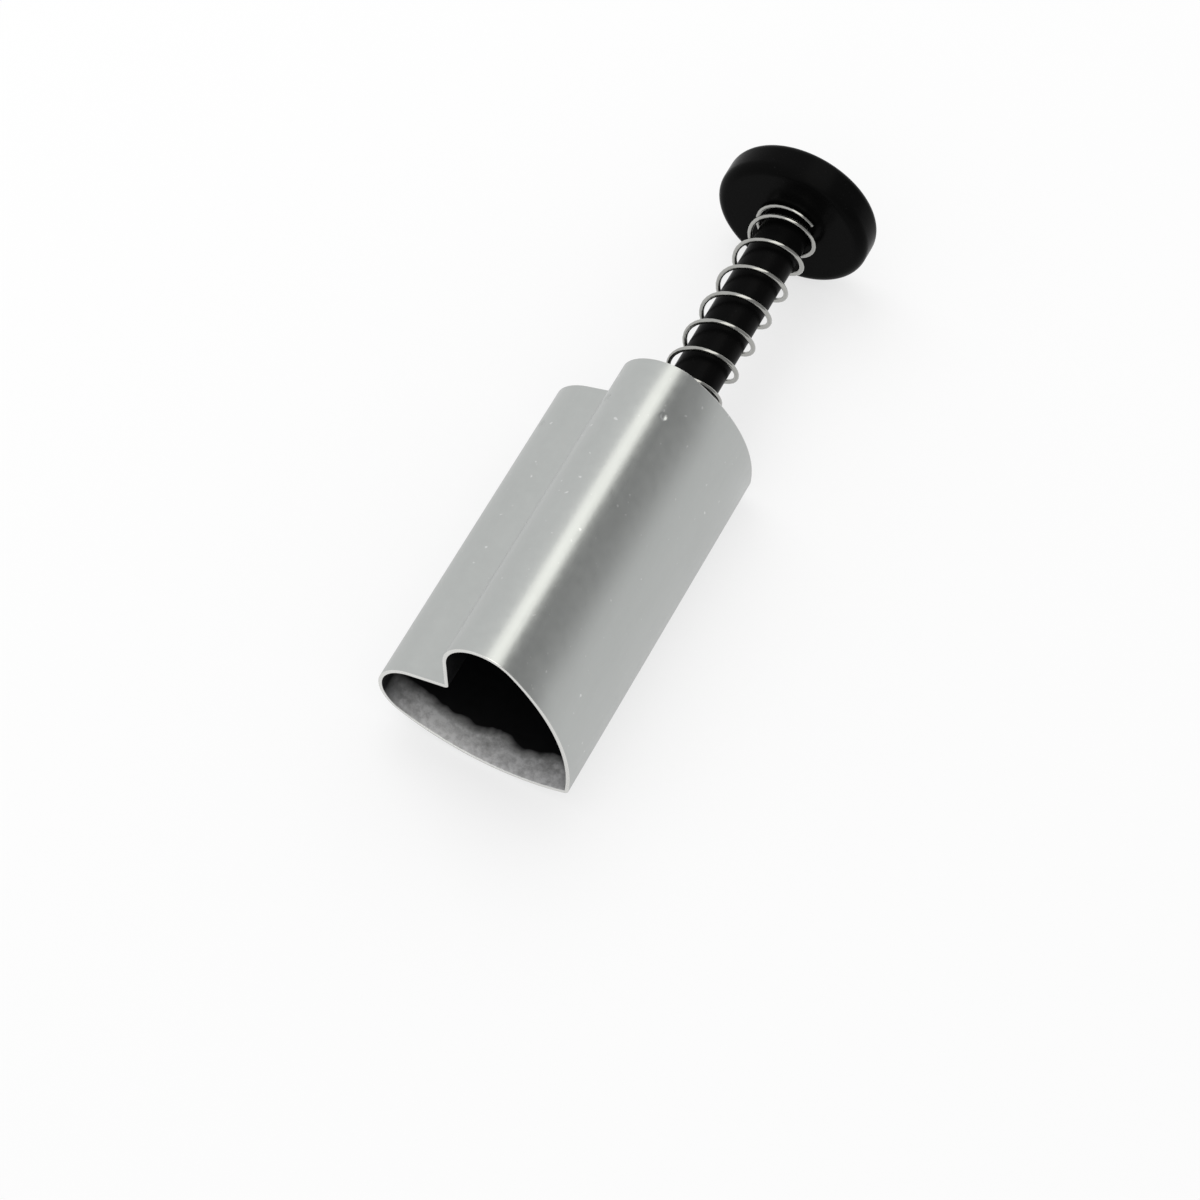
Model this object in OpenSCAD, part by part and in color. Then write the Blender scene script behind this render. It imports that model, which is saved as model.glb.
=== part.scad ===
/* [Heart tube] */
// Outer width of the heart across its lobes
heart_w = 20; // [17:0.5:24]
// Outer radius of each lobe
lobe_r = 4.25; // [3.6:0.05:4.8]
// Outer radius of each long side
side_r = 20.7; // [18:0.1:26]
// Height of the tip below the lobes' centres
tip_drop = 15.65; // [14:0.05:17]
// Slope of the cleft's walls, in degrees
cleft_slope = 40; // [30:1:44]
// Thickness of the sheet metal
tube_wall = 0.4; // [0.25:0.05:0.6]
// Length of the tube, measured on the rod's axis
tube_len = 38; // [36:0.5:44]
// Slope of the tube's top edge, in degrees
top_slope = 8; // [0:0.5:10]
// Distance of the rod's axis below the lobes' centres
axis_drop = 4.9; // [4.4:0.1:5.4]
// Radius of the punch that stakes the tube to the plug
stake_r = 0.6; // [0.4:0.05:0.8]
// Depth of a stake mark
stake_depth = 0.15; // [0.05:0.01:0.2]
// Distance of the stake marks below the tube's top on the axis
stake_drop = 6.2; // [5.5:0.1:7]

/* [Guide plug] */
// Length of the plug
plug_len = 8; // [6:0.5:9]
// Distance of the plug's top below the tube's top on the axis
plug_drop = 2.1; // [1.8:0.1:3]
// Depth of the spring's seat in the plug
seat_depth = 1.9; // [1:0.1:3]
// Radial gap between the spring and its seat
seat_clear = 0.35; // [0.2:0.05:0.6]
// Radial gap of the rod in its bore
bore_clear = 0.08; // [0.03:0.01:0.1]

/* [Plunger] */
// Diameter of the rod
rod_d = 5.1; // [4:0.1:5.4]
// Diameter of the knob
knob_d = 16.6; // [14:0.1:20]
// Thickness of the knob
knob_t = 3.9; // [3:0.1:6]
// Radius of the knob's rounded rims
knob_edge = 1.1; // [0.4:0.1:1.4]
// Distance of the knob's underside above the tube's top on the axis
knob_lift = 27.4; // [26:0.1:34]
// Depth of the rod's end in the knob
knob_socket = 2.4; // [1:0.1:2.6]
// Travel of the plunger
stroke = 22; // [16:0.5:23]
// Distance that the pad stands out of the mouth at full travel
pad_proud = 0.5; // [0:0.1:1]
// Thickness of the pad
pad_t = 3; // [2.4:0.1:4]
// Gap between the pad and the tube's inner wall
pad_clear = 0.25; // [0.15:0.01:0.4]
// Diameter of the pad's hub
hub_d = 8; // [7:0.1:8.6]
// Depth of the rod's end in the hub
hub_socket = 2.6; // [1.5:0.1:3]
// Gap between the hub and the plug at rest
stop_gap = 0.05; // [0.02:0.01:0.1]

/* [Pad screw] */
// Diameter of the screw's shank
screw_d = 1.8; // [1.4:0.1:2.2]
// Length of the shank in the rod
screw_grip = 7; // [5:0.5:12]
// Diameter of the screw's head
head_d = 3.8; // [3.2:0.1:4.4]
// Height of the screw's head
head_h = 1.2; // [0.9:0.1:1.4]
// Depth of the head's face below the pad's face
head_sink = 0.3; // [0.1:0.05:0.6]
// Radial gap round the screw's head
head_clear = 0.15; // [0.1:0.05:0.3]
// Width of the screw's slots
slot_w = 0.5; // [0.3:0.05:0.7]
// Length of the screw's slots
slot_len = 2.3; // [1.5:0.1:2.8]
// Depth of the screw's slots
slot_depth = 0.6; // [0.3:0.05:0.8]

/* [Return spring] */
// Outer diameter of the spring
spring_d = 7.1; // [6.9:0.1:7.6]
// Diameter of the wire
wire_d = 0.5; // [0.4:0.05:0.6]
// Number of turns
spring_turns = 10; // [7:1:10]
// Turns over which each end closes up
close_turns = 1.8; // [1:0.1:1.8]
// Angle at which the wire starts on its seat, in degrees
spring_start = 185; // [0:5:355]
// Gap between the spring's ends and their seats
end_gap = 0.05; // [0.02:0.01:0.1]

/* [Hidden] */
round_fn = 96;
arc_step = 4;
eps = 0.01;
past = 1;

// Centre of the right-hand lobe, and of the long side's arc, with the lobes' centres at height 0
lobe_x = heart_w / 2 - lobe_r;
tip_run = norm([lobe_x, tip_drop]);
arc_gap = side_r - lobe_r;
along_tip = (tip_run * tip_run + arc_gap * arc_gap - side_r * side_r) / (2 * tip_run);
across_tip = sqrt(arc_gap * arc_gap - along_tip * along_tip);
side_x = lobe_x - along_tip * lobe_x / tip_run - across_tip * tip_drop / tip_run;
side_y = -along_tip * tip_drop / tip_run + across_tip * lobe_x / tip_run;

// Points along an arc
function arc_points(c, r, from, to) =
    let (n = ceil((to - from) / arc_step))
    [for (i = [0:n]) c + r * [cos(from + (to - from) * i / n), sin(from + (to - from) * i / n)]];
// Height of the cleft's bottom over the lobes' centres
function cleft_y(inset) =
    (lobe_r - inset) / cos(cleft_slope) - lobe_x * tan(cleft_slope);
// Right half of the outline moved inwards by inset, from the tip up to the cleft
function half_heart(inset) =
    let (join = atan2(-side_y, lobe_x - side_x), tip = -acos(-side_x / (side_r - inset)))
    concat(
        arc_points([side_x, side_y], side_r - inset, tip, join),
        arc_points([lobe_x, 0], lobe_r - inset, join + arc_step, 90 + cleft_slope),
        [[0, cleft_y(inset)]]
    );
// Whole outline, with the rod's axis at 0
function heart_points(inset) =
    let (half = [for (p = half_heart(inset)) p + [0, axis_drop]], n = len(half))
    concat(half, [for (i = [n - 2:-1:1]) [-half[i][0], half[i][1]]]);

// Heights along the rod's axis, from the mouth
plug_top = tube_len - plug_drop;
plug_bottom = plug_top - plug_len;
seat_z = plug_top - seat_depth;
knob_z = tube_len + knob_lift;
pad_z = stroke - pad_proud;
hub_top = plug_bottom - stop_gap;
rod_z = hub_top - hub_socket;
head_z = pad_z + head_sink;
stake_z = tube_len - stake_drop;

// The cutter lies on the long side under its axis, and on the knob's rim
side_to_axis = norm([side_x, side_y + axis_drop]);
roll = atan2(-side_x, -side_y - axis_drop);
lie_z = max(knob_d / 2, side_r - side_to_axis);
function rolled(p) = [p[0] * cos(roll) - p[1] * sin(roll), -p[0] * sin(roll) - p[1] * cos(roll)];
outline_x = concat([for (p = heart_points(0)) rolled(p)[0]], [knob_d / 2, -knob_d / 2]);
lie_x = -(max(outline_x) + min(outline_x)) / 2;
lie_y = -(knob_z + knob_t) / 2;

// Wire of the spring
spring_r = (spring_d - wire_d) / 2;
spring_low = seat_z + end_gap + wire_d / 2;
spring_rise = knob_z - end_gap - wire_d / 2 - spring_low;
spring_pitch = spring_rise / (spring_turns - close_turns);
rings_per_turn = 8;
wire_sides = 6;
function wire_rise(t) =
    t < close_turns ? spring_pitch * t * t / (2 * close_turns)
    : t > spring_turns - close_turns ? spring_rise - wire_rise(spring_turns - t)
    : spring_pitch * (t - close_turns / 2);
function wire_point(t) =
    let (a = spring_start + 360 * t)
    [spring_r * cos(a), spring_r * sin(a), spring_low + wire_rise(t)];
function wire_heading(t) =
    let (d = wire_point(t + eps) - wire_point(t - eps)) d / norm(d);
function end_heading(angle) = [-sin(angle), cos(angle), 0];
wire_ring_count = spring_turns * rings_per_turn + 1;
start_point = wire_point(0);
last_point = wire_point(spring_turns);
last_angle = spring_start + 360 * spring_turns;
wire_path = concat(
    [start_point - wire_d * end_heading(spring_start)],
    [for (i = [0:wire_ring_count - 1]) wire_point(i / rings_per_turn)],
    [last_point + wire_d * end_heading(last_angle)]
);
wire_headings = concat(
    [end_heading(spring_start), end_heading(spring_start)],
    [for (i = [1:wire_ring_count - 2]) wire_heading(i / rings_per_turn)],
    [end_heading(last_angle), end_heading(last_angle)]
);
function wire_ring(i) =
    let (
        h = wire_headings[i],
        across = [cos(atan2(-h[0], h[1])), sin(atan2(-h[0], h[1])), 0],
        up = cross(across, h)
    )
    [for (k = [0:wire_sides - 1])
        wire_path[i] + wire_d / 2 * (cos(360 * k / wire_sides) * across + sin(360 * k / wire_sides) * up)];
wire_gap = min([for (i = [0:wire_ring_count - 1 - rings_per_turn / 2])
    min([for (j = [i + rings_per_turn / 2:min(i + 2 * rings_per_turn, wire_ring_count - 1)])
        norm(wire_point(i / rings_per_turn) - wire_point(j / rings_per_turn)) - wire_d])]);
echo(least_gap_of_the_wire_to_itself = wire_gap);

// Lays a piece built upright on the rod's axis down as the cutter rests
module lie() {
    translate([lie_x, lie_y, lie_z]) rotate([-90, 0, 0]) rotate([0, 0, roll]) children();
}

module heart_prism(inset, from, to) {
    translate([0, 0, from]) linear_extrude(height = to - from) polygon(heart_points(inset));
}

// Everything above the tube's sloping top edge
module above_top() {
    reach = 2 * heart_w;
    rotate([-top_slope, 0, 0]) translate([-reach, -reach, 0]) cube([2 * reach, 2 * reach, reach]);
}

// Places a punch on each side of both lobes, square to the wall
module at_stakes(depth) {
    for (side = [-1, 1], angle = [0, 90])
        translate([side * lobe_x, axis_drop, stake_z])
            rotate([0, 0, side > 0 ? angle : 180 - angle])
                translate([lobe_r - depth, 0, 0]) children();
}

module cutter_tube() {
    color("silver") lie() difference() {
        heart_prism(0, 0, tube_len + heart_w);
        heart_prism(tube_wall, -past, tube_len + heart_w + past);
        translate([0, 0, tube_len]) above_top();
        at_stakes(stake_depth - stake_r) sphere(r = stake_r, $fn = 24);
    }
}

module guide_plug() {
    bore_r = rod_d / 2 + bore_clear;
    color([0.08, 0.08, 0.08]) lie() difference() {
        heart_prism(tube_wall, plug_bottom, plug_top);
        translate([0, 0, plug_bottom - past]) cylinder(r = bore_r, h = plug_len + 2 * past, $fn = round_fn);
        translate([0, 0, seat_z])
            cylinder(r = spring_d / 2 + seat_clear, h = seat_depth + past, $fn = round_fn);
    }
}

module plunger_rod() {
    color([0.05, 0.05, 0.05]) lie() difference() {
        translate([0, 0, rod_z]) cylinder(d = rod_d, h = knob_z + knob_socket - rod_z, $fn = round_fn);
        translate([0, 0, rod_z - past]) cylinder(d = screw_d, h = screw_grip + past, $fn = round_fn);
    }
}

// Half section of the knob, round its rims
function knob_section() =
    let (r = knob_d / 2 - knob_edge)
    concat(
        [[0, 0]],
        arc_points([r, knob_edge], knob_edge, -90, 0),
        arc_points([r, knob_t - knob_edge], knob_edge, 0, 90),
        [[0, knob_t]]
    );

module plunger_knob() {
    color([0.05, 0.05, 0.05]) lie() translate([0, 0, knob_z]) difference() {
        rotate_extrude($fn = round_fn) polygon(knob_section());
        translate([0, 0, -past]) cylinder(d = rod_d, h = knob_socket + past, $fn = round_fn);
    }
}

// Faces of the wire as triangles: a fan over its first end, its side and a fan over its last end
function wire_faces(n) = concat(
    [for (k = [1:wire_sides - 2]) [0, k, k + 1]],
    [for (i = [0:n - 2], k = [0:wire_sides - 1])
        let (a = i * wire_sides + k, b = i * wire_sides + (k + 1) % wire_sides)
        [a, a + wire_sides, b]],
    [for (i = [0:n - 2], k = [0:wire_sides - 1])
        let (a = i * wire_sides + k, b = i * wire_sides + (k + 1) % wire_sides)
        [b, a + wire_sides, b + wire_sides]],
    [for (k = [1:wire_sides - 2]) let (a = (n - 1) * wire_sides) [a, a + k + 1, a + k]]
);

module return_spring() {
    n = len(wire_path);
    color("gainsboro") lie()
        polyhedron(points = [for (i = [0:n - 1]) each wire_ring(i)], faces = wire_faces(n));
}

module ejector_pad() {
    inset = tube_wall + pad_clear;
    color([0.08, 0.08, 0.08]) lie() difference() {
        union() {
            heart_prism(inset, pad_z, pad_z + pad_t);
            translate([0, 0, pad_z + pad_t - eps])
                cylinder(d = hub_d, h = hub_top - pad_z - pad_t + eps, $fn = round_fn);
        }
        translate([0, 0, rod_z]) cylinder(d = rod_d, h = hub_socket + past, $fn = round_fn);
        translate([0, 0, pad_z]) cylinder(d = screw_d, h = rod_z - pad_z + past, $fn = round_fn);
        translate([0, 0, pad_z - past])
            cylinder(r = head_d / 2 + head_clear, h = head_sink + head_h + past, $fn = round_fn);
    }
}

module pad_screw() {
    color("silver") lie() difference() {
        union() {
            translate([0, 0, head_z]) cylinder(d = head_d, h = head_h, $fn = round_fn);
            translate([0, 0, head_z + head_h - eps])
                cylinder(d = screw_d, h = rod_z + screw_grip - head_z - head_h, $fn = round_fn);
        }
        for (turn = [0, 90])
            translate([0, 0, head_z]) rotate([0, 0, turn])
                cube([slot_len, slot_w, 2 * slot_depth], center = true);
    }
}

cutter_tube();
guide_plug();
plunger_rod();
plunger_knob();
return_spring();
ejector_pad();
pad_screw();
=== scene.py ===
"""Looks of a heart-shaped plunger cutter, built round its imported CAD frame."""

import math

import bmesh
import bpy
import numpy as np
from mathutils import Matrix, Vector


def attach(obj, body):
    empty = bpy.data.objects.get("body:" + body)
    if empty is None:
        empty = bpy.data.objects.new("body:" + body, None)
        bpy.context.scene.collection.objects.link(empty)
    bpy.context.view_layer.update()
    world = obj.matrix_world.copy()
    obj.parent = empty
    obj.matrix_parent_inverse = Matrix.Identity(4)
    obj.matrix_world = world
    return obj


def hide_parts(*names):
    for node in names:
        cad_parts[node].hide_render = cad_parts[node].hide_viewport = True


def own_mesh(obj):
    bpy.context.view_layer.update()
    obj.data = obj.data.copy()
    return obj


bl_info = {
    "name": "Plunger Cutter",
    "version": (1, 0, 0),
    "blender": (4, 5, 0),
    "location": "3D View > Sidebar > Cutter",
    "description": "Builds a heart-shaped plunger cutter with its spring, knob and finishes",
    "category": "Object",
}

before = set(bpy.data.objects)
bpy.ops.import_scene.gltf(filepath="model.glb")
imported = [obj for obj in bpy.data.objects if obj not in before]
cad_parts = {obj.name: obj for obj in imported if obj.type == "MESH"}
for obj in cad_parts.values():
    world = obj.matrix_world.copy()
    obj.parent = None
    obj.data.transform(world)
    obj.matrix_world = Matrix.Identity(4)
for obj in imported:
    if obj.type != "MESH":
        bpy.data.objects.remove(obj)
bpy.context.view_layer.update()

MM = 0.001

# Sizes of the heart, in millimetres, upright with the mouth at height 0 and the rod's axis at 0, 0
HEART_WIDTH = 20.0
LOBE_R = 4.25
SIDE_R = 20.7
TIP_DROP = 15.65
CLEFT_SLOPE = math.radians(40)
AXIS_DROP = 4.9
WALL = 0.4
TUBE_LENGTH = 38.0
TOP_SLOPE = math.radians(8)
STAKE_HEIGHT = 31.8
STAKE_R = 0.6
STAKE_DEPTH = 0.15

# Heights of the pieces on the rod's axis, and their radii
PLUG_LOW, PLUG_HIGH, SEAT_HEIGHT = 27.9, 35.9, 34.0
PAD_LOW, PAD_THICK, HUB_HIGH = 21.5, 3.0, 27.85
ROD_LOW, ROD_R, BORE_R = 25.25, 2.55, 2.63
KNOB_LOW, KNOB_THICK, KNOB_R, SOCKET = 65.4, 3.9, 8.3, 2.4
SEAT_R, HUB_R, HEAD_HOLE_R, SHANK_R = 3.9, 4.0, 2.05, 0.9
PILOT_DEPTH, HEAD_DEPTH = 7.0, 1.5
PAD_INSET = 0.65
END_GAP, CLOSE_TURNS, SPRING_START = 0.05, 1.8, math.radians(185)
SPRING_R = 3.3

# The cutter lies with one long side down
LOBE_X = HEART_WIDTH / 2 - LOBE_R
TIP_RUN = math.hypot(LOBE_X, TIP_DROP)
ARC_GAP = SIDE_R - LOBE_R
ALONG_TIP = (TIP_RUN ** 2 + ARC_GAP ** 2 - SIDE_R ** 2) / (2 * TIP_RUN)
ACROSS_TIP = math.sqrt(ARC_GAP ** 2 - ALONG_TIP ** 2)
SIDE_X = LOBE_X - (ALONG_TIP * LOBE_X + ACROSS_TIP * TIP_DROP) / TIP_RUN
SIDE_Y = (ACROSS_TIP * LOBE_X - ALONG_TIP * TIP_DROP) / TIP_RUN
ROLL = math.atan2(-SIDE_X, -SIDE_Y - AXIS_DROP)
LIE = (1.27595, -34.65, 8.3)
MOUTH_ROW = LIE[1] * MM

# The stage, in metres, and the camera that was fitted to the photograph
FLOOR_HALF, PANEL_AWAY, PANEL_HALF = 2.0, 0.5, 0.8
CAMERA_PLACE = (0.06905, -0.19873, 0.33560)
CAMERA_RIGHT, CAMERA_UP = (0.88789, 0.45376, 0.07582), (-0.42740, 0.75263, 0.50086)
CAMERA_BACK, CAMERA_LENS = (0.17022, -0.47712, 0.86219), 119.61


def lie(points):
    """Upright millimetres to the row frame's metres: a turn by ROLL about the rod, then laid along +Y."""
    x, y, z = points[..., 0], points[..., 1], points[..., 2]
    across = x * math.cos(ROLL) - y * math.sin(ROLL) + LIE[0]
    up = -x * math.sin(ROLL) - y * math.cos(ROLL) + LIE[2]
    return np.stack([across, z + LIE[1], up], -1) * MM


def arc(centre, radius, start, end, count):
    """count points of centre + radius * (cos a, sin a), and their directions. a runs from start to just before
    end."""
    a = np.linspace(start, end, count, endpoint=False)
    way = np.stack([np.cos(a), np.sin(a)], -1)
    return np.array(centre) + radius * way, way


def heart(inset, tip_round, cleft_round):
    """Outline of the heart moved inwards by inset, anticlockwise from the tip, and its outward normals.
    The right half is a small arc round the tip, the long side's arc, the lobe's arc, a straight wall into the
    cleft and a small arc in its bottom. The left half is its mirror image."""
    side, lobe = SIDE_R - inset, LOBE_R - inset
    tip_y = SIDE_Y - math.sqrt((side - tip_round) ** 2 - SIDE_X ** 2)
    tip_end = math.atan2(tip_y - SIDE_Y, -SIDE_X)
    join = math.atan2(-SIDE_Y, LOBE_X - SIDE_X)
    top = math.pi / 2
    wall = top + CLEFT_SLOPE
    cleft_y = (lobe + cleft_round) / math.cos(CLEFT_SLOPE) - LOBE_X * math.tan(CLEFT_SLOPE)
    tip_p, tip_n = arc((0, tip_y), tip_round, -top, tip_end, 6)
    side_p, side_n = arc((SIDE_X, SIDE_Y), side, tip_end, join, 60)
    lobe_p, lobe_n = arc((LOBE_X, 0), lobe, join, wall, 80)
    wall_n = np.array([math.cos(wall), math.sin(wall)])
    wall_from = np.array([LOBE_X, 0]) + lobe * wall_n
    wall_to = np.array([0, cleft_y]) - cleft_round * wall_n
    share = np.linspace(0, 1, 8, endpoint=False)[:, None]
    wall_p = wall_from + share * (wall_to - wall_from)
    a = np.linspace(wall, top, 7)
    cleft_n = np.stack([np.cos(a), np.sin(a)], -1)
    cleft_p = np.array([0, cleft_y]) - cleft_round * cleft_n
    points = np.concatenate([tip_p, side_p, lobe_p, wall_p, cleft_p]) + [0, AXIS_DROP]
    normals = np.concatenate([tip_n, side_n, lobe_n, np.repeat(wall_n[None], len(wall_p), 0), cleft_n])
    mirror = np.array([-1, 1])
    return (np.concatenate([points, points[-2:0:-1] * mirror]),
            np.concatenate([normals, normals[-2:0:-1] * mirror]))


def circle(count=144):
    """count points of a unit circle, which are their own outward normals."""
    return arc((0, 0), 1, 0, 2 * math.pi, count)


def bend(kind, a, z, radius, start, end, count=4):
    """Rows of a rounded corner: (a, z) plus radius * (cos t, sin t), with t in degrees from start to end."""
    t = np.radians(np.linspace(start, end, count))
    return [(kind, a + radius * c, z + radius * s) for c, s in zip(np.cos(t), np.sin(t))]


def rings(section, outline):
    """A grid of rings, one for each row (kind, a, z) of the section: "round" is a circle of radius a, in the
    outline's directions, and "heart" is the outline moved outwards by a."""
    points, normals = outline
    ways = points / np.linalg.norm(points, axis=1)[:, None]
    flat = np.stack([ways * a if kind == "round" else points + normals * a for kind, a, z in section])
    heights = np.array([z for kind, a, z in section])
    return np.concatenate([flat, np.broadcast_to(heights[:, None, None], flat.shape[:2] + (1,))], -1)


def grid_piece(name, grid, closed, sharp=32):
    """A mesh from a grid of points whose rings are closed. closed also joins the last ring to the first, and
    otherwise both end in a pole. Rings that shrink to a point are welded. Faces point outwards by the sign of
    the enclosed volume, and edges over sharp degrees stay sharp."""
    rows, columns = grid.shape[:2]
    row = np.arange(rows if closed else rows - 1)[:, None]
    column = np.arange(columns)[None, :]
    after, beside = (row + 1) % rows, (column + 1) % columns
    faces = np.stack([row * columns + column, row * columns + beside,
                      after * columns + beside, after * columns + column], -1).reshape(-1, 4)
    co = lie(grid).reshape(-1, 3)
    middle = co - co.mean(0)
    p, q, r, s = (middle[faces[:, i]] for i in range(4))
    volume = np.einsum("ij,ij->", p, np.cross(q, r)) + np.einsum("ij,ij->", p, np.cross(r, s))
    mesh = bpy.data.meshes.new(name)
    mesh.from_pydata(co, [], faces if volume > 0 else faces[:, ::-1])
    shape = bmesh.new()
    shape.from_mesh(mesh)
    bmesh.ops.remove_doubles(shape, verts=shape.verts, dist=2e-7)
    shape.to_mesh(mesh)
    shape.free()
    mesh.shade_smooth()
    mesh.set_sharp_from_angle(angle=math.radians(sharp))
    piece = bpy.data.objects.new(name, mesh)
    bpy.context.scene.collection.objects.link(piece)
    return piece


class Value:
    """One output of a shader's node. Python's arithmetic on it adds Math nodes."""

    def __init__(self, shader, socket):
        self.shader, self.socket = shader, socket

    def other(self, output):
        return Value(self.shader, self.socket.node.outputs[output])

    def math(self, operation, first, second=0.0):
        return self.shader.add("ShaderNodeMath", {"operation": operation}, {0: first, 1: second})

    def __add__(self, b): return self.math("ADD", self, b)
    def __radd__(self, b): return self.math("ADD", b, self)
    def __sub__(self, b): return self.math("SUBTRACT", self, b)
    def __rsub__(self, b): return self.math("SUBTRACT", b, self)
    def __mul__(self, b): return self.math("MULTIPLY", self, b)
    def __rmul__(self, b): return self.math("MULTIPLY", b, self)
    def __truediv__(self, b): return self.math("DIVIDE", self, b)
    def __rtruediv__(self, b): return self.math("DIVIDE", b, self)

    def clamp(self):
        return self.math("MINIMUM", self.math("MAXIMUM", self, 0.0), 1.0)


class Shader:
    """The node tree of a material or the world."""

    def __init__(self, owner):
        owner.use_nodes = True
        self.tree = owner.node_tree
        self.tree.nodes.clear()

    def add(self, kind, settings=None, sockets=None, output=0):
        """Adds a node: its settings first, then its sockets' values or links."""
        node = self.tree.nodes.new(kind)
        for name, value in (settings or {}).items():
            setattr(node, name, value)
        for name, value in (sockets or {}).items():
            if isinstance(value, Value):
                self.tree.links.new(value.socket, node.inputs[name])
            else:
                node.inputs[name].default_value = value
        return Value(self, node.outputs[output]) if node.outputs else None

    def place(self, scale=(1, 1, 1)):
        """Object coordinates, stretched by scale."""
        where = self.add("ShaderNodeTexCoord", output="Object")
        return self.add("ShaderNodeMapping", sockets={"Vector": where, "Scale": scale})

    def noise(self, where, scale, detail=3.0, roughness=0.55):
        return self.add("ShaderNodeTexNoise", None,
                        {"Vector": where, "Scale": scale, "Detail": detail, "Roughness": roughness})

    def mix(self, share, first, second):
        """Colour between first and second."""
        return self.add("ShaderNodeMix", {"data_type": "RGBA"}, {0: share, 6: first, 7: second}, 2)

    def bump(self, height, strength, distance):
        return self.add("ShaderNodeBump", None,
                        {"Height": height, "Strength": strength, "Distance": distance})

    def surface(self, **sockets):
        """The Principled shader and the output. Names of sockets are written with _ for spaces."""
        named = {name.replace("_", " "): value for name, value in sockets.items()}
        made = self.add("ShaderNodeBsdfPrincipled", None, named)
        self.add("ShaderNodeOutputMaterial", None, {"Surface": made})


def grey(level, tint=(1, 1, 1)):
    return (*(level * t for t in tint), 1)


def material(name):
    made = bpy.data.materials.new(name)
    return made, Shader(made)


def drawn_metal(name, colour, rough, streak, relief, specks=0.0):
    """Sheet or wire with fine drawing lines along the cutter, and a faint mottle in its colour and gloss.
    specks is the strength of tiny bright dots, where the sheet has been scuffed."""
    made, shader = material(name)
    lines = shader.noise(shader.place((1, 0.04, 1)), 5200, 4)
    mottle = shader.noise(shader.place(), 900, 5, 0.6)
    cloud = shader.noise(shader.place((1, 0.35, 1)), 160, 2)
    shade = (0.5 * mottle + 0.5 * cloud - 0.5) * 1.6 + 0.5
    darker = tuple(c * (1 - streak) for c in colour)
    base = shader.mix(shade.clamp(), (*darker, 1), (*colour, 1))
    if specks:
        dots = ((shader.noise(shader.place(), 1500, 1) - 0.735) * 14).clamp() * specks
        base = shader.mix(dots, base, grey(0.9))
    height = lines * 0.6 + mottle * 0.4
    gloss = rough + (lines - 0.5) * 0.12 + (mottle - 0.5) * 0.16
    shader.surface(Base_Color=base, Metallic=1.0, Roughness=gloss,
                   Normal=shader.bump(height, relief, 0.02 * MM))
    return made


def inner_wall_painted_light_and_shade(name):
    """Inner wall with painted shade and painted light: near black deep inside as painted shade, and a grey
    mottled band of painted light on its low side just behind the mouth.
    """
    made, shader = material(name)
    where = shader.add("ShaderNodeTexCoord", output="Object")
    along = shader.add("ShaderNodeSeparateXYZ", None, {"Vector": where}, "Y")
    cloud = shader.noise(shader.place(), 190, 3)
    grain = shader.noise(shader.place(), 1600, 5, 0.65)
    # Painted light: how far the band of painted light reaches in from the mouth, with a noisy edge
    depth = (along - MOUTH_ROW) / (3.4 * MM) + (cloud - 0.5) * 1.3
    # Painted light: the band lies only on the wall's low side, where light falls in
    low = ((5 * MM - along.other("Z")) / (3 * MM)).clamp()
    painted_light_band = ((1 - depth) * 2.4).clamp() * low * (0.8 + 1.3 * (grain - 0.5) + 0.9 * (cloud - 0.4))
    # Painted shade: near black deep in the tube; painted light: grey in the band behind the mouth
    base = shader.mix(painted_light_band.clamp(), (0.006, 0.006, 0.007, 1), (0.85, 0.85, 0.86, 1))
    shader.surface(Base_Color=base, Metallic=0.6, Roughness=0.5 + (grain - 0.5) * 0.3,
                   Normal=shader.bump(grain, 0.25, 0.03 * MM))
    return made


def moulded_plastic(name, colour, rough, grain, specular=0.02):
    """Black moulded plastic: a fine grain in its surface, soft marks in its gloss and a little dust."""
    made, shader = material(name)
    peel = shader.noise(shader.place(), 2600, 2)
    marks = shader.noise(shader.place((1, 0.3, 1)), 420, 5, 0.62)
    dust = ((shader.noise(shader.place(), 5200, 2) - 0.66) * 9).clamp() * 0.25
    base = shader.mix(dust, (*colour, 1), tuple(c + 0.03 for c in colour) + (1,))
    shader.surface(Base_Color=base, Roughness=rough + (marks - 0.5) * 0.18 + dust * 0.2,
                   Specular_IOR_Level=specular, Normal=shader.bump(peel + 0.5 * marks, grain, 0.03 * MM))
    return made


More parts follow.
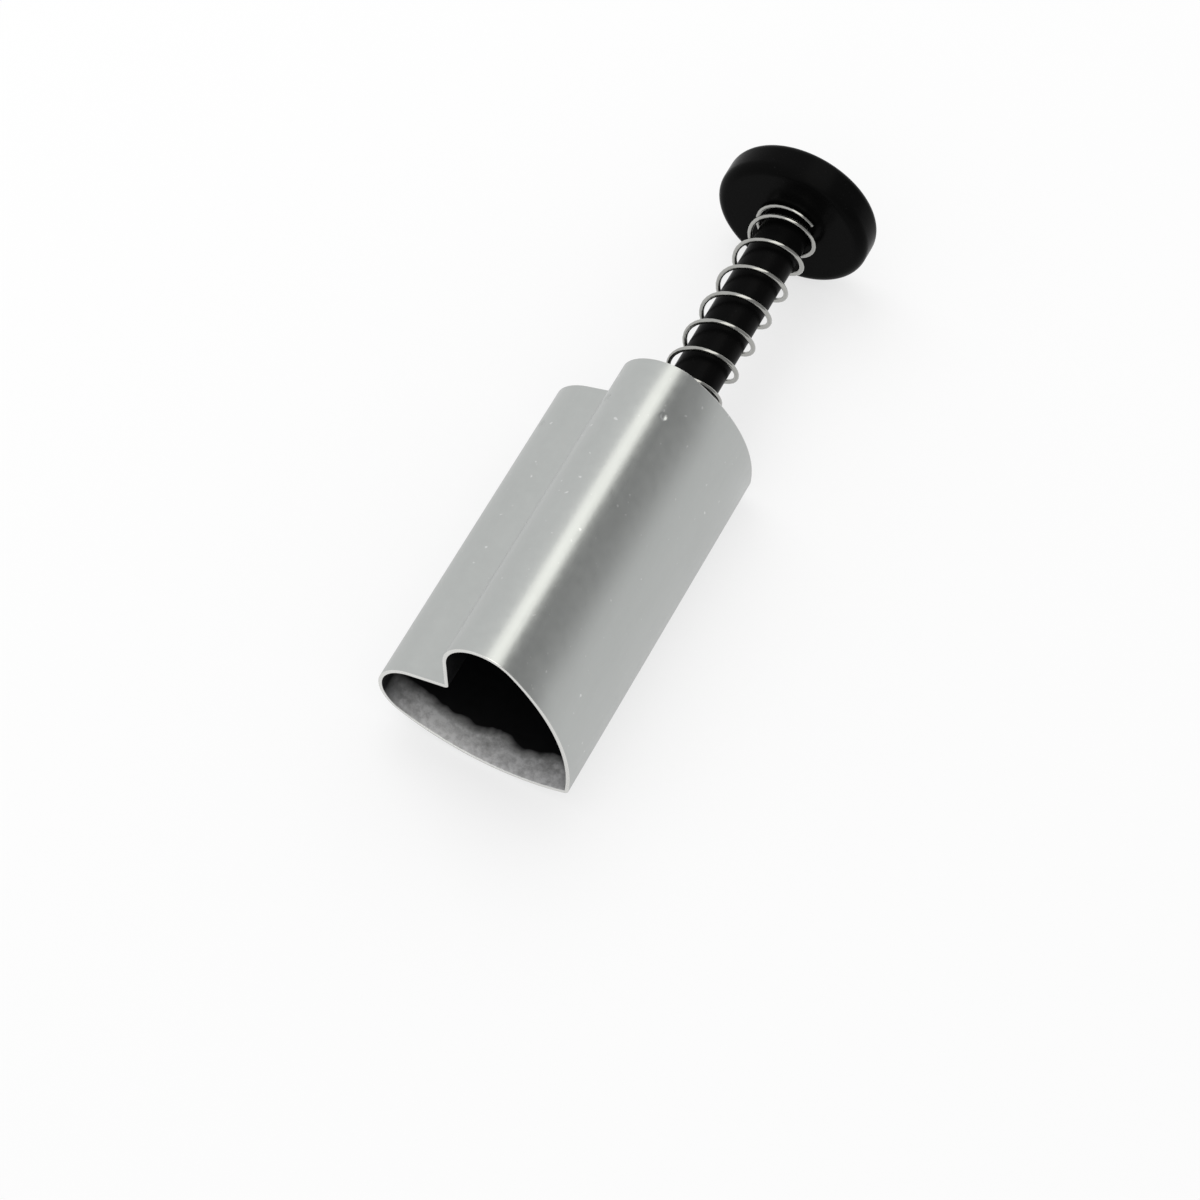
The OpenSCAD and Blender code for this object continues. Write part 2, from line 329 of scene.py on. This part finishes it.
class CutterSettings(bpy.types.PropertyGroup):
    """Sizes and colours of the cutter that a user would change."""

    cleft_rounding: bpy.props.FloatProperty(
        name="Cleft Rounding", description="Rounding of the heart's cleft, at the middle of the sheet",
        default=0.3 * MM, min=0.25 * MM, max=0.6 * MM, unit="LENGTH", precision=5)
    rim_rounding: bpy.props.FloatProperty(
        name="Rim Rounding", description="Rounding of the sheet's cut edges",
        default=0.07 * MM, min=0.02 * MM, max=0.15 * MM, unit="LENGTH", precision=5)
    tip_rounding: bpy.props.FloatProperty(
        name="Tip Rounding", description="Rounding of the heart's tip, at the middle of the sheet",
        default=0.45 * MM, min=0.3 * MM, max=1.0 * MM, unit="LENGTH", precision=5)
    knob_rounding: bpy.props.FloatProperty(
        name="Knob Rounding", description="Rounding of the knob's rims",
        default=1.1 * MM, min=0.3 * MM, max=1.4 * MM, unit="LENGTH", precision=5)
    wire_thickness: bpy.props.FloatProperty(
        name="Wire Thickness", description="Diameter of the spring's wire",
        default=0.5 * MM, min=0.4 * MM, max=0.6 * MM, unit="LENGTH", precision=5)
    spring_turns: bpy.props.IntProperty(
        name="Spring Turns", description="Number of turns of the spring", default=10, min=7, max=10)
    sheet_colour: bpy.props.FloatVectorProperty(
        name="Sheet Colour", description="Colour of the tube's sheet metal",
        subtype="COLOR", size=3, min=0, max=1, default=(0.485, 0.50, 0.49))
    wire_colour: bpy.props.FloatVectorProperty(
        name="Wire Colour", description="Colour of the spring's wire",
        subtype="COLOR", size=3, min=0, max=1, default=(0.44, 0.44, 0.42))
    knob_colour: bpy.props.FloatVectorProperty(
        name="Knob Colour", description="Colour of the knob's and rod's plastic",
        subtype="COLOR", size=3, min=0, max=1, default=(0.003, 0.003, 0.003))
    floor_colour: bpy.props.FloatVectorProperty(
        name="Floor Colour", description="Colour of the floor",
        subtype="COLOR", size=3, min=0, max=1, default=(0.93, 0.93, 0.93))


def settings():
    return bpy.context.scene.cutter_settings


def dress(piece, body, slot, finishes, *nodes):
    """Gives a piece its materials, its CAD body and the nodes that it stands for. Its slot is not used."""
    for finish in finishes:
        piece.data.materials.append(finish)
    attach(piece, body)
    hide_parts(*nodes)


def tube_section(half, rim):
    """Closed section of the wall, as offset from its middle, height, and whether the height counts from the
    top edge: up the outer face, over the top rim, down the inner face and round the mouth's rim. Its rows lie
    close together at the punch marks."""
    below = np.linspace(rim, STAKE_HEIGHT - STAKE_R - 0.1, 18)
    beside = STAKE_HEIGHT + np.linspace(-STAKE_R, STAKE_R, 13)
    heights = np.concatenate([below, beside, [STAKE_HEIGHT + STAKE_R + 0.2, STAKE_HEIGHT + 2 * STAKE_R]])
    turn = np.radians(np.linspace(0, 90, 4))
    in_from_face, over = half - rim + rim * np.cos(turn), rim * np.sin(turn)
    ones, zeros = np.ones(len(turn)), np.zeros(len(turn))
    inner = heights[::2]
    offset = [np.full(len(heights), half), in_from_face, -in_from_face[::-1], np.full(len(inner), -half),
              -in_from_face, in_from_face[::-1]]
    height = [heights, over - rim, (over - rim)[::-1], inner[::-1], rim - over, (rim - over)[::-1]]
    from_top = [np.zeros(len(heights)), ones, ones, np.zeros(len(inner)), zeros, zeros]
    return tuple(np.concatenate(part) for part in (offset, height, from_top))


class CUTTER_OT_tube(bpy.types.Operator):
    """Heart-shaped tube of sheet metal with rounded cut edges, a sloping top edge and four punch marks"""

    bl_idname = "cutter.tube"
    bl_label = "Tube"

    def execute(self, context):
        s = settings()
        half, rim = WALL / 2, s.rim_rounding / MM
        points, normals = heart(half, s.tip_rounding / MM, s.cleft_rounding / MM)
        offset, height, from_top = tube_section(half, rim)
        flat = points + normals * offset[:, None, None]
        edge = TUBE_LENGTH - flat[..., 1] * math.tan(TOP_SLOPE)
        z = height[:, None] + from_top[:, None] * edge
        grid = np.concatenate([flat, z[..., None]], -1)
        outer = (offset > 0)[:, None]
        for side in (-1, 1):
            for way in ((side, 0), (0, 1)):
                centre = np.array([side * LOBE_X, AXIS_DROP, STAKE_HEIGHT]) + LOBE_R * np.array([*way, 0])
                away = np.linalg.norm(grid - centre, axis=-1)
                dent = np.sqrt(np.maximum(STAKE_R ** 2 - away ** 2, 0)) - (STAKE_R - STAKE_DEPTH)
                grid[..., :2] -= normals * (np.maximum(dent, 0) * outer)[..., None]
        piece = grid_piece("heart_tube", grid, True, 40)
        rows, columns = grid.shape[:2]
        face_row = np.arange(len(piece.data.polygons)) // columns
        on_rim = np.abs(offset) + np.abs(np.roll(offset, -1)) < 2 * half - 1e-6
        finish = np.where(on_rim | (offset * np.roll(offset, -1) < 0), 1, np.where(offset < 0, 2, 0))
        piece.data.polygons.foreach_set("material_index", finish[face_row].astype(np.int32))
        colour = tuple(s.sheet_colour)
        finishes = [drawn_metal("satin_sheet", colour, 0.34, 0.13, 0.08, 0.4),
                    # The inner wall's material has painted shade deep inside and a band of painted light behind
                    # the mouth
                    drawn_metal("cut_edge", (0.70, 0.70, 0.68), 0.26, 0.05, 0.1), inner_wall_painted_light_and_shade("inner_wall_painted_light_and_shade")]
        dress(piece, "barrel", "tube_metal", finishes, "cutter_tube")
        return {"FINISHED"}


class CUTTER_OT_plug(bpy.types.Operator):
    """Heart-shaped plug in the tube's top end, with the rod's bore and the spring's seat"""

    bl_idname = "cutter.plug"
    bl_label = "Guide Plug"

    def execute(self, context):
        r = 0.2
        section = (bend("round", BORE_R + r, PLUG_LOW + r, r, 180, 270)
                   + bend("heart", -r, PLUG_LOW + r, r, 270, 360)
                   + bend("heart", -r, PLUG_HIGH - r, r, 0, 90)
                   + bend("round", SEAT_R + r, PLUG_HIGH - r, r, 90, 180)
                   + [("round", SEAT_R, SEAT_HEIGHT), ("round", BORE_R + r, SEAT_HEIGHT)]
                   + bend("round", BORE_R + r, SEAT_HEIGHT - r, r, 90, 180))
        piece = grid_piece("guide_block", rings(section, heart(WALL, 0.4, 0.4)), True)
        finish = moulded_plastic("plug_plastic", (0.018,) * 3, 0.45, 0.25)
        dress(piece, "barrel", "inner_plastic", [finish], "guide_plug")
        return {"FINISHED"}


class CUTTER_OT_plunger(bpy.types.Operator):
    """Round rod and the knob that the thumb presses"""

    bl_idname = "cutter.plunger"
    bl_label = "Rod and Knob"

    def execute(self, context):
        s = settings()
        colour = tuple(s.knob_colour)
        r = 0.3
        top = KNOB_LOW + SOCKET
        pilot_end = ROD_LOW + PILOT_DEPTH
        section = ([("round", 0, pilot_end), ("round", SHANK_R, pilot_end), ("round", SHANK_R, ROD_LOW)]
                   + bend("round", ROD_R - r, ROD_LOW + r, r, 270, 360)
                   + [("round", ROD_R, z) for z in np.linspace(ROD_LOW + 1, top - 1, 24)]
                   + [("round", ROD_R, top), ("round", 0, top)])
        rod = grid_piece("push_rod", rings(section, circle()), False)
        finish = moulded_plastic("rod_plastic", colour, 0.30, 0.15)
        dress(rod, "plunger", "knob_plastic", [finish], "plunger_rod")
        k = s.knob_rounding / MM
        high = KNOB_LOW + KNOB_THICK
        lead_in = 0.1
        section = ([("round", 0, top), ("round", ROD_R, top), ("round", ROD_R, KNOB_LOW + lead_in),
                    ("round", ROD_R + lead_in, KNOB_LOW)]
                   + [("round", a, KNOB_LOW) for a in np.linspace(ROD_R + 0.8, KNOB_R - k - 0.3, 8)]
                   + bend("round", KNOB_R - k, KNOB_LOW + k, k, 270, 360, 12)
                   + bend("round", KNOB_R - k, high - k, k, 0, 90, 12)
                   + [("round", a, high) for a in np.linspace(KNOB_R - k - 0.3, 0, 9)])
        knob = grid_piece("thumb_knob", rings(section, circle(192)), False)
        finish = moulded_plastic("knob_plastic", colour, 0.24, 0.2)
        dress(knob, "plunger", "knob_plastic", [finish], "plunger_knob")
        return {"FINISHED"}


class CUTTER_OT_spring(bpy.types.Operator):
    """Open-wound wire spring between the plug's seat and the knob, with closed ends"""

    bl_idname = "cutter.spring"
    bl_label = "Return Spring"

    def execute(self, context):
        """The wire's middle is (R cos a, R sin a, low + z), where a turns once for each turn t. z is a parabola
        of t over the turns that close up at each end and a straight line between them, and each ring is a
        circle across the wire."""
        s = settings()
        wire, turns = s.wire_thickness / MM, s.spring_turns
        low = SEAT_HEIGHT + END_GAP + wire / 2
        rise = KNOB_LOW - END_GAP - wire / 2 - low
        pitch = rise / (turns - CLOSE_TURNS)
        t = np.linspace(0, turns, turns * 32 + 1)
        near_end = np.minimum(t, turns - t)
        bow = pitch * near_end ** 2 / (2 * CLOSE_TURNS)
        closing = near_end < CLOSE_TURNS
        z = np.where(closing, np.where(t < turns / 2, bow, rise - bow), pitch * (t - CLOSE_TURNS / 2))
        slope = np.where(closing, pitch * near_end / CLOSE_TURNS, pitch)
        angle = SPRING_START + 2 * math.pi * t
        middle = np.stack([SPRING_R * np.cos(angle), SPRING_R * np.sin(angle), low + z], -1)
        heading = np.stack([-np.sin(angle), np.cos(angle), slope / (2 * math.pi * SPRING_R)], -1)
        heading /= np.linalg.norm(heading, axis=1)[:, None]
        stub = np.array([1, 0.96, 0.8, 0.4])[:, None] * wire
        start, end = middle[:1] - stub * heading[:1], middle[-1:] + stub[::-1] * heading[-1:]
        middle = np.concatenate([start, middle, end])
        heading = np.pad(heading, ((len(stub), len(stub)), (0, 0)), "edge")
        size = np.full(len(middle), wire / 2)
        size[[0, -1]], size[[1, -2]] = 0, wire * 0.42
        out = np.stack([heading[:, 1], -heading[:, 0], np.zeros(len(heading))], -1)
        out /= np.linalg.norm(out, axis=1)[:, None]
        up = np.cross(out, heading)
        round_wire = np.linspace(0, 2 * math.pi, 12, endpoint=False)[None, :, None]
        ring = np.cos(round_wire) * out[:, None] + np.sin(round_wire) * up[:, None]
        piece = grid_piece("coil_spring", middle[:, None] + size[:, None, None] * ring, False)
        finish = drawn_metal("spring_wire", tuple(s.wire_colour), 0.16, 0.3, 0.1)
        dress(piece, "barrel", "spring_wire", [finish], "return_spring")
        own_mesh(piece)
        return {"FINISHED"}


class CUTTER_OT_pad(bpy.types.Operator):
    """Heart-shaped plate on the rod's lower end, and the screw that holds it"""

    bl_idname = "cutter.pad"
    bl_label = "Ejector Pad"

    def execute(self, context):
        r = 0.25
        high = PAD_LOW + PAD_THICK
        section = ([("round", SHANK_R, PAD_LOW + HEAD_DEPTH), ("round", HEAD_HOLE_R, PAD_LOW + HEAD_DEPTH)]
                   + bend("round", HEAD_HOLE_R + r, PAD_LOW + r, r, 180, 270)
                   + bend("heart", -r, PAD_LOW + r, r, 270, 360)
                   + bend("heart", -r, high - r, r, 0, 90)
                   + bend("round", HUB_R + r, high + r, r, 270, 180)
                   + bend("round", HUB_R - r, HUB_HIGH - r, r, 0, 90)
                   + [("round", ROD_R, HUB_HIGH), ("round", ROD_R, ROD_LOW), ("round", SHANK_R, ROD_LOW)])
        piece = grid_piece("pusher_plate", rings(section, heart(PAD_INSET, 0.5, 0.5)), True)
        finish = moulded_plastic("pad_plastic", (0.014,) * 3, 0.5, 0.3)
        dress(piece, "plunger", "inner_plastic", [finish], "ejector_pad")
        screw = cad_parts["pad_screw"]
        screw.data.materials.clear()
        screw.data.materials.append(drawn_metal("screw_steel", (0.6, 0.6, 0.61), 0.32, 0.2, 0.2))
        return {"FINISHED"}


def background_share(shader):
    """1 for camera, glossy and see-through rays, which show the white background, and 0 for the rest."""
    path = shader.add("ShaderNodeLightPath", output="Is Camera Ray")
    return (path + path.other("Is Glossy Ray") + path.other("Is Transmission Ray")).clamp()


def studio_world():
    """White background, and a plain soft light on the cutter."""
    world = bpy.data.worlds.new("studio")
    bpy.context.scene.world = world
    shader = Shader(world)
    colour = shader.mix(background_share(shader), grey(0.78), grey(1.0))
    back = shader.add("ShaderNodeBackground", None, {"Color": colour, "Strength": 1.0})
    shader.add("ShaderNodeOutputWorld", None, {"Surface": back})


def pale_floor(colour):
    """Floor that shows white as the background does, and keeps a third of its own shade with the shadow."""
    made, shader = material("pale_floor")
    matt = shader.add("ShaderNodeBsdfDiffuse", None, {"Color": colour})
    white = shader.add("ShaderNodeEmission", None, {"Color": grey(1.0)})
    share = background_share(shader) * 0.68
    shown = shader.add("ShaderNodeMixShader", None, {0: share, 1: matt, 2: white})
    shader.add("ShaderNodeOutputMaterial", None, {"Surface": shown})
    return made


def four_corners(name, corners, finish):
    """A flat piece of the stage."""
    mesh = bpy.data.meshes.new(name)
    mesh.from_pydata(corners, [], [(0, 1, 2, 3)])
    mesh.materials.append(finish)
    made = bpy.data.objects.new(name, mesh)
    bpy.context.scene.collection.objects.link(made)
    return made


def long_panel(name, colour, low, high):
    """A panel along the cutter that stands for a studio's card or soft box. It reaches between two angles round
    the middle of the floor, in degrees upwards from +X, and only reflections show it."""
    made, shader = material(name)
    glow = shader.add("ShaderNodeEmission", None, {"Color": colour})
    shader.add("ShaderNodeOutputMaterial", None, {"Surface": glow})
    foot, head = (PANEL_AWAY * Vector((math.cos(a), 0, math.sin(a))) for a in np.radians((low, high)))
    end = Vector((0, PANEL_HALF, 0))
    panel = four_corners(name, [foot - end, foot + end, head + end, head - end], made)
    panel.visible_camera = panel.visible_diffuse = panel.visible_transmission = panel.visible_shadow = False


def lamp(name, power, size, place):
    """A soft square lamp that looks at the cutter, and that reflections don't show."""
    data = bpy.data.lights.new(name, "AREA")
    data.energy, data.size = power, size
    made = bpy.data.objects.new(name, data)
    made.visible_glossy = False
    made.location = place
    made.rotation_euler = (-Vector(place)).to_track_quat("-Z", "Y").to_euler()
    bpy.context.scene.collection.objects.link(made)


class CUTTER_OT_stage(bpy.types.Operator):
    """Pale floor, soft light and the camera"""

    bl_idname = "cutter.stage"
    bl_label = "Stage"

    def execute(self, context):
        corners = [(x * FLOOR_HALF, y * FLOOR_HALF, 0) for x, y in ((-1, -1), (1, -1), (1, 1), (-1, 1))]
        floor = four_corners("floor", corners, pale_floor((*settings().floor_colour, 1)))
        studio_world()
        long_panel("dark_card", grey(0.38), 0, 61)
        long_panel("soft_box", grey(2.05, (1, 0.99, 0.95)), 61, 97)
        lamp("key", 1.1, 0.4, (-0.25, 0.15, 0.5))
        data = bpy.data.cameras.new("camera")
        data.sensor_width, data.lens, data.clip_start = 36, CAMERA_LENS, 0.01
        camera = bpy.data.objects.new("camera", data)
        turn = Matrix((CAMERA_RIGHT, CAMERA_UP, CAMERA_BACK)).transposed().to_4x4()
        camera.matrix_world = Matrix.Translation(CAMERA_PLACE) @ turn
        bpy.context.scene.collection.objects.link(camera)
        bpy.context.scene.camera = camera
        bpy.context.scene.view_settings.view_transform = "Standard"
        return {"FINISHED"}


STEPS = (CUTTER_OT_stage, CUTTER_OT_tube, CUTTER_OT_plug, CUTTER_OT_plunger, CUTTER_OT_spring, CUTTER_OT_pad)


class CUTTER_PT_panel(bpy.types.Panel):
    """The cutter's sizes, colours and building steps"""

    bl_label = "Plunger Cutter"
    bl_idname = "CUTTER_PT_panel"
    bl_space_type = "VIEW_3D"
    bl_region_type = "UI"
    bl_category = "Cutter"

    def draw(self, context):
        for name in CutterSettings.__annotations__:
            self.layout.prop(context.scene.cutter_settings, name)
        for step in STEPS:
            self.layout.operator(step.bl_idname)


CLASSES = (CutterSettings, *STEPS, CUTTER_PT_panel)


def register():
    for made in CLASSES:
        bpy.utils.register_class(made)
    bpy.types.Scene.cutter_settings = bpy.props.PointerProperty(type=CutterSettings)


def unregister():
    del bpy.types.Scene.cutter_settings
    for made in reversed(CLASSES):
        bpy.utils.unregister_class(made)


def main():
    register()
    for step in STEPS:
        group, name = step.bl_idname.split(".")
        getattr(getattr(bpy.ops, group), name)()


if __name__ == "__main__":
    main()
